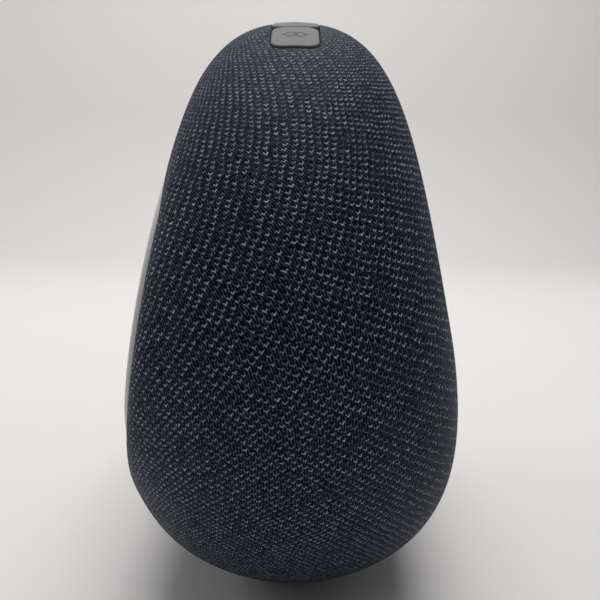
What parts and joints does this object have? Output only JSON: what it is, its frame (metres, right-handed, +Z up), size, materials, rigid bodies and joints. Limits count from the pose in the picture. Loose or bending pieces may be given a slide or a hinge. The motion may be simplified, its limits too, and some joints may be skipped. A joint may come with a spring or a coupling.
{
  "type": "smart home hub",
  "caption": "Bedside smart home hub: egg-shaped body in a knitted sleeve, pill-shaped glass front leaning back, soft press keys along the crown.",
  "frame": {"origin": "on the ground, under the middle of the foot", "axes": "+Z up, front display faces -Y, width along X"},
  "size_m": [0.21, 0.0828, 0.1526],
  "materials": {
    "knit": "coarse matte knit",
    "dark_plastic": "fine matte moulding",
    "grey_plastic": "satin light grey",
    "key_rubber": "soft-touch matt grey",
    "black_glass": "polished, black printed back",
    "display": "switched-off display",
    "steel": "plain",
    "aluminium": "satin",
    "circuit_board": "solder mask",
    "flex_film": "polyimide film",
    "cone_paper": "coated pulp",
    "rubber": "matt",
    "magnet": "ferrite"
  },
  "bodies": {
    "hub": {"antenna_left": "flex_film", "antenna_right": "flex_film", "ballast": "steel", "base_plate": "dark_plastic", "base_screw_1": "steel", "base_screw_2": "steel", "base_screw_3": "steel", "base_screw_4": "steel", "chassis_screw_1": "steel", "chassis_screw_2": "steel", "chassis_screw_3": "steel", "chassis_screw_4": "steel", "cover_glass": "black_glass", "display_backplate": "aluminium", "display_panel": "display", "display_ribbon": "flex_film", "fabric_sleeve": "knit", "front_bezel": "grey_plastic", "front_chassis": "dark_plastic", "heat_spreader": "aluminium", "key_board": "circuit_board", "key_tray": "dark_plastic", "light_sensor": "circuit_board", "main_board": "circuit_board", "microphone_left": "steel", "microphone_right": "steel", "power_board": "circuit_board", "power_socket": "steel", "radiator_frame": "dark_plastic", "radiator_surround": "rubber", "radio_module": "steel", "rear_housing": "dark_plastic", "rubber_foot": "rubber", "shield_can": "steel", "socket_trim": "grey_plastic", "speaker_basket_left": "steel", "speaker_basket_right": "steel", "speaker_lead_left": "rubber", "speaker_lead_right": "rubber", "speaker_magnet_left": "magnet", "speaker_magnet_right": "magnet", "speaker_surround_left": "rubber", "speaker_surround_right": "rubber", "switch_action": "steel", "switch_mute": "steel", "switch_pair": "steel", "switch_volume_down": "steel", "switch_volume_up": "steel"},
    "key_mute": {"key_mute": "key_rubber"},
    "key_volume_down": {"key_volume_down": "key_rubber"},
    "key_action": {"key_action": "key_rubber"},
    "key_volume_up": {"key_volume_up": "key_rubber"},
    "key_pair": {"key_pair": "key_rubber"},
    "cone_left": {"speaker_cone_left": "cone_paper"},
    "cone_right": {"speaker_cone_right": "cone_paper"},
    "radiator": {"radiator_plate": "cone_paper"}
  },
  "joints": [
    {"name": "key_mute_press", "type": "slide", "parent": "hub", "child": "key_mute", "axis": [0.4076, 0, -0.9132], "range_m": [0, 0.0006], "stiffness_N_per_m": 1500, "springref_m": -0.0004},
    {"name": "key_volume_down_press", "type": "slide", "parent": "hub", "child": "key_volume_down", "axis": [0.1931, 0, -0.9812], "range_m": [0, 0.0006], "stiffness_N_per_m": 1500, "springref_m": -0.0004},
    {"name": "key_action_press", "type": "slide", "parent": "hub", "child": "key_action", "axis": [0, 0, -1], "range_m": [0, 0.0006], "stiffness_N_per_m": 1500, "springref_m": -0.0004},
    {"name": "key_volume_up_press", "type": "slide", "parent": "hub", "child": "key_volume_up", "axis": [-0.1931, 0, -0.9812], "range_m": [0, 0.0006], "stiffness_N_per_m": 1500, "springref_m": -0.0004},
    {"name": "key_pair_press", "type": "slide", "parent": "hub", "child": "key_pair", "axis": [-0.4076, 0, -0.9132], "range_m": [0, 0.0006], "stiffness_N_per_m": 1500, "springref_m": -0.0004},
    {"name": "cone_left_stroke", "type": "slide", "parent": "hub", "child": "cone_left", "axis": [-1, 0, 0], "range_m": [-0.0015, 0.0015], "stiffness_N_per_m": 1200},
    {"name": "cone_right_stroke", "type": "slide", "parent": "hub", "child": "cone_right", "axis": [1, 0, 0], "range_m": [-0.0015, 0.0015], "stiffness_N_per_m": 1200},
    {"name": "radiator_stroke", "type": "slide", "parent": "hub", "child": "radiator", "axis": [0, 0.9867, 0.1628], "range_m": [-0.0015, 0.0015], "stiffness_N_per_m": 1200}
  ]
}
